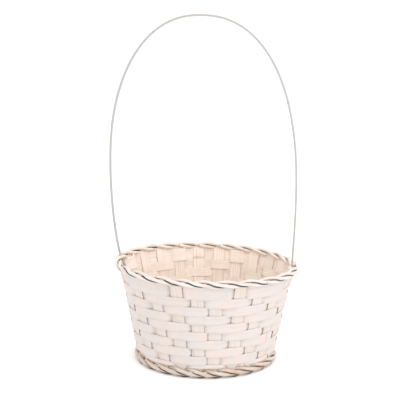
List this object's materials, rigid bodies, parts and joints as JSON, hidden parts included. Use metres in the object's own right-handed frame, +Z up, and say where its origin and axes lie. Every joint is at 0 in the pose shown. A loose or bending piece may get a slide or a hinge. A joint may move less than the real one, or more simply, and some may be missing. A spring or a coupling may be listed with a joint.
{
  "type": "flower girl basket",
  "caption": "Round tapered basket woven from whitewashed bamboo splints, with twined rod ropes at foot and rim and one tall fixed hoop handle.",
  "frame": {"origin": "middle of the base's underside, on the ground", "axes": "+Z up; +X through one leg of the hoop, which stands in the XZ plane; +Y to the back"},
  "size_m": [0.1964, 0.1898, 0.3502],
  "materials": {
    "strip_splint": "whitewashed bamboo splint, matt, with pale tan bamboo showing through",
    "weaver_splint": "whitewashed bamboo splint, matt, with fine lengthwise grain",
    "foot_rod": "whitewashed round cane, rubbed, with brown bamboo in the hollows",
    "rim_rod": "whitewashed round cane, matt, with greyish hollows",
    "hoop_cane": "smooth whitewashed bamboo strip, satin"
  },
  "bodies": {
    "root": {"side_to_side_strip_1": "strip_splint", "side_to_side_strip_2": "strip_splint", "side_to_side_strip_3": "strip_splint", "side_to_side_strip_4": "strip_splint", "side_to_side_strip_5": "strip_splint", "side_to_side_strip_6": "strip_splint", "side_to_side_strip_7": "strip_splint", "front_to_back_strip_1": "strip_splint", "front_to_back_strip_2": "strip_splint", "front_to_back_strip_3": "strip_splint", "front_to_back_strip_4": "strip_splint", "front_to_back_strip_5": "strip_splint", "weaver_row_0": "weaver_splint", "weaver_row_1": "weaver_splint", "weaver_row_2": "weaver_splint", "weaver_row_3": "weaver_splint", "weaver_row_4": "weaver_splint", "weaver_row_5": "weaver_splint", "weaver_row_6": "weaver_splint", "weaver_row_7": "weaver_splint", "weaver_row_8": "weaver_splint", "weaver_row_9": "weaver_splint", "foot_rod_1": "foot_rod", "foot_rod_2": "foot_rod", "foot_rod_3": "foot_rod", "rim_rod_1": "rim_rod", "rim_rod_2": "rim_rod", "rim_rod_3": "rim_rod", "hoop_handle": "hoop_cane"}
  },
  "joints": []
}
